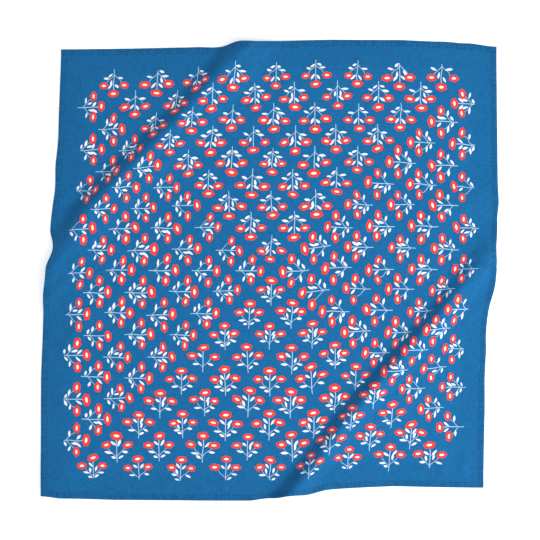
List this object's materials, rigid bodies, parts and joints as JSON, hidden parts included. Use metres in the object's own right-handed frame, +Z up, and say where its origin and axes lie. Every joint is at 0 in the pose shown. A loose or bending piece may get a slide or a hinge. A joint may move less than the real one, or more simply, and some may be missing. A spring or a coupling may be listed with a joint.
{
  "type": "bandana",
  "caption": "Square hemmed cotton bandana laid flat and face up, with diagonal unfolding ridges near opposite corners.",
  "frame": {"origin": "on the surface that the cloth lies on, under the middle of the laid cloth's outline", "axes": "+Z up out of the printed face, +Y toward the upper edge, +X toward the right edge as the print is seen"},
  "size_m": [0.5604, 0.5652, 0.0167],
  "materials": {
    "printed_cotton": "plain-weave printed cotton, mid blue ground with red and white flower sprigs",
    "hem_cotton": "the same cotton turned twice and stitched with blue thread"
  },
  "bodies": {
    "root": {"cloth_panel": "printed_cotton", "hem_top": "hem_cotton", "hem_bottom": "hem_cotton", "hem_left": "hem_cotton", "hem_right": "hem_cotton"}
  },
  "joints": []
}
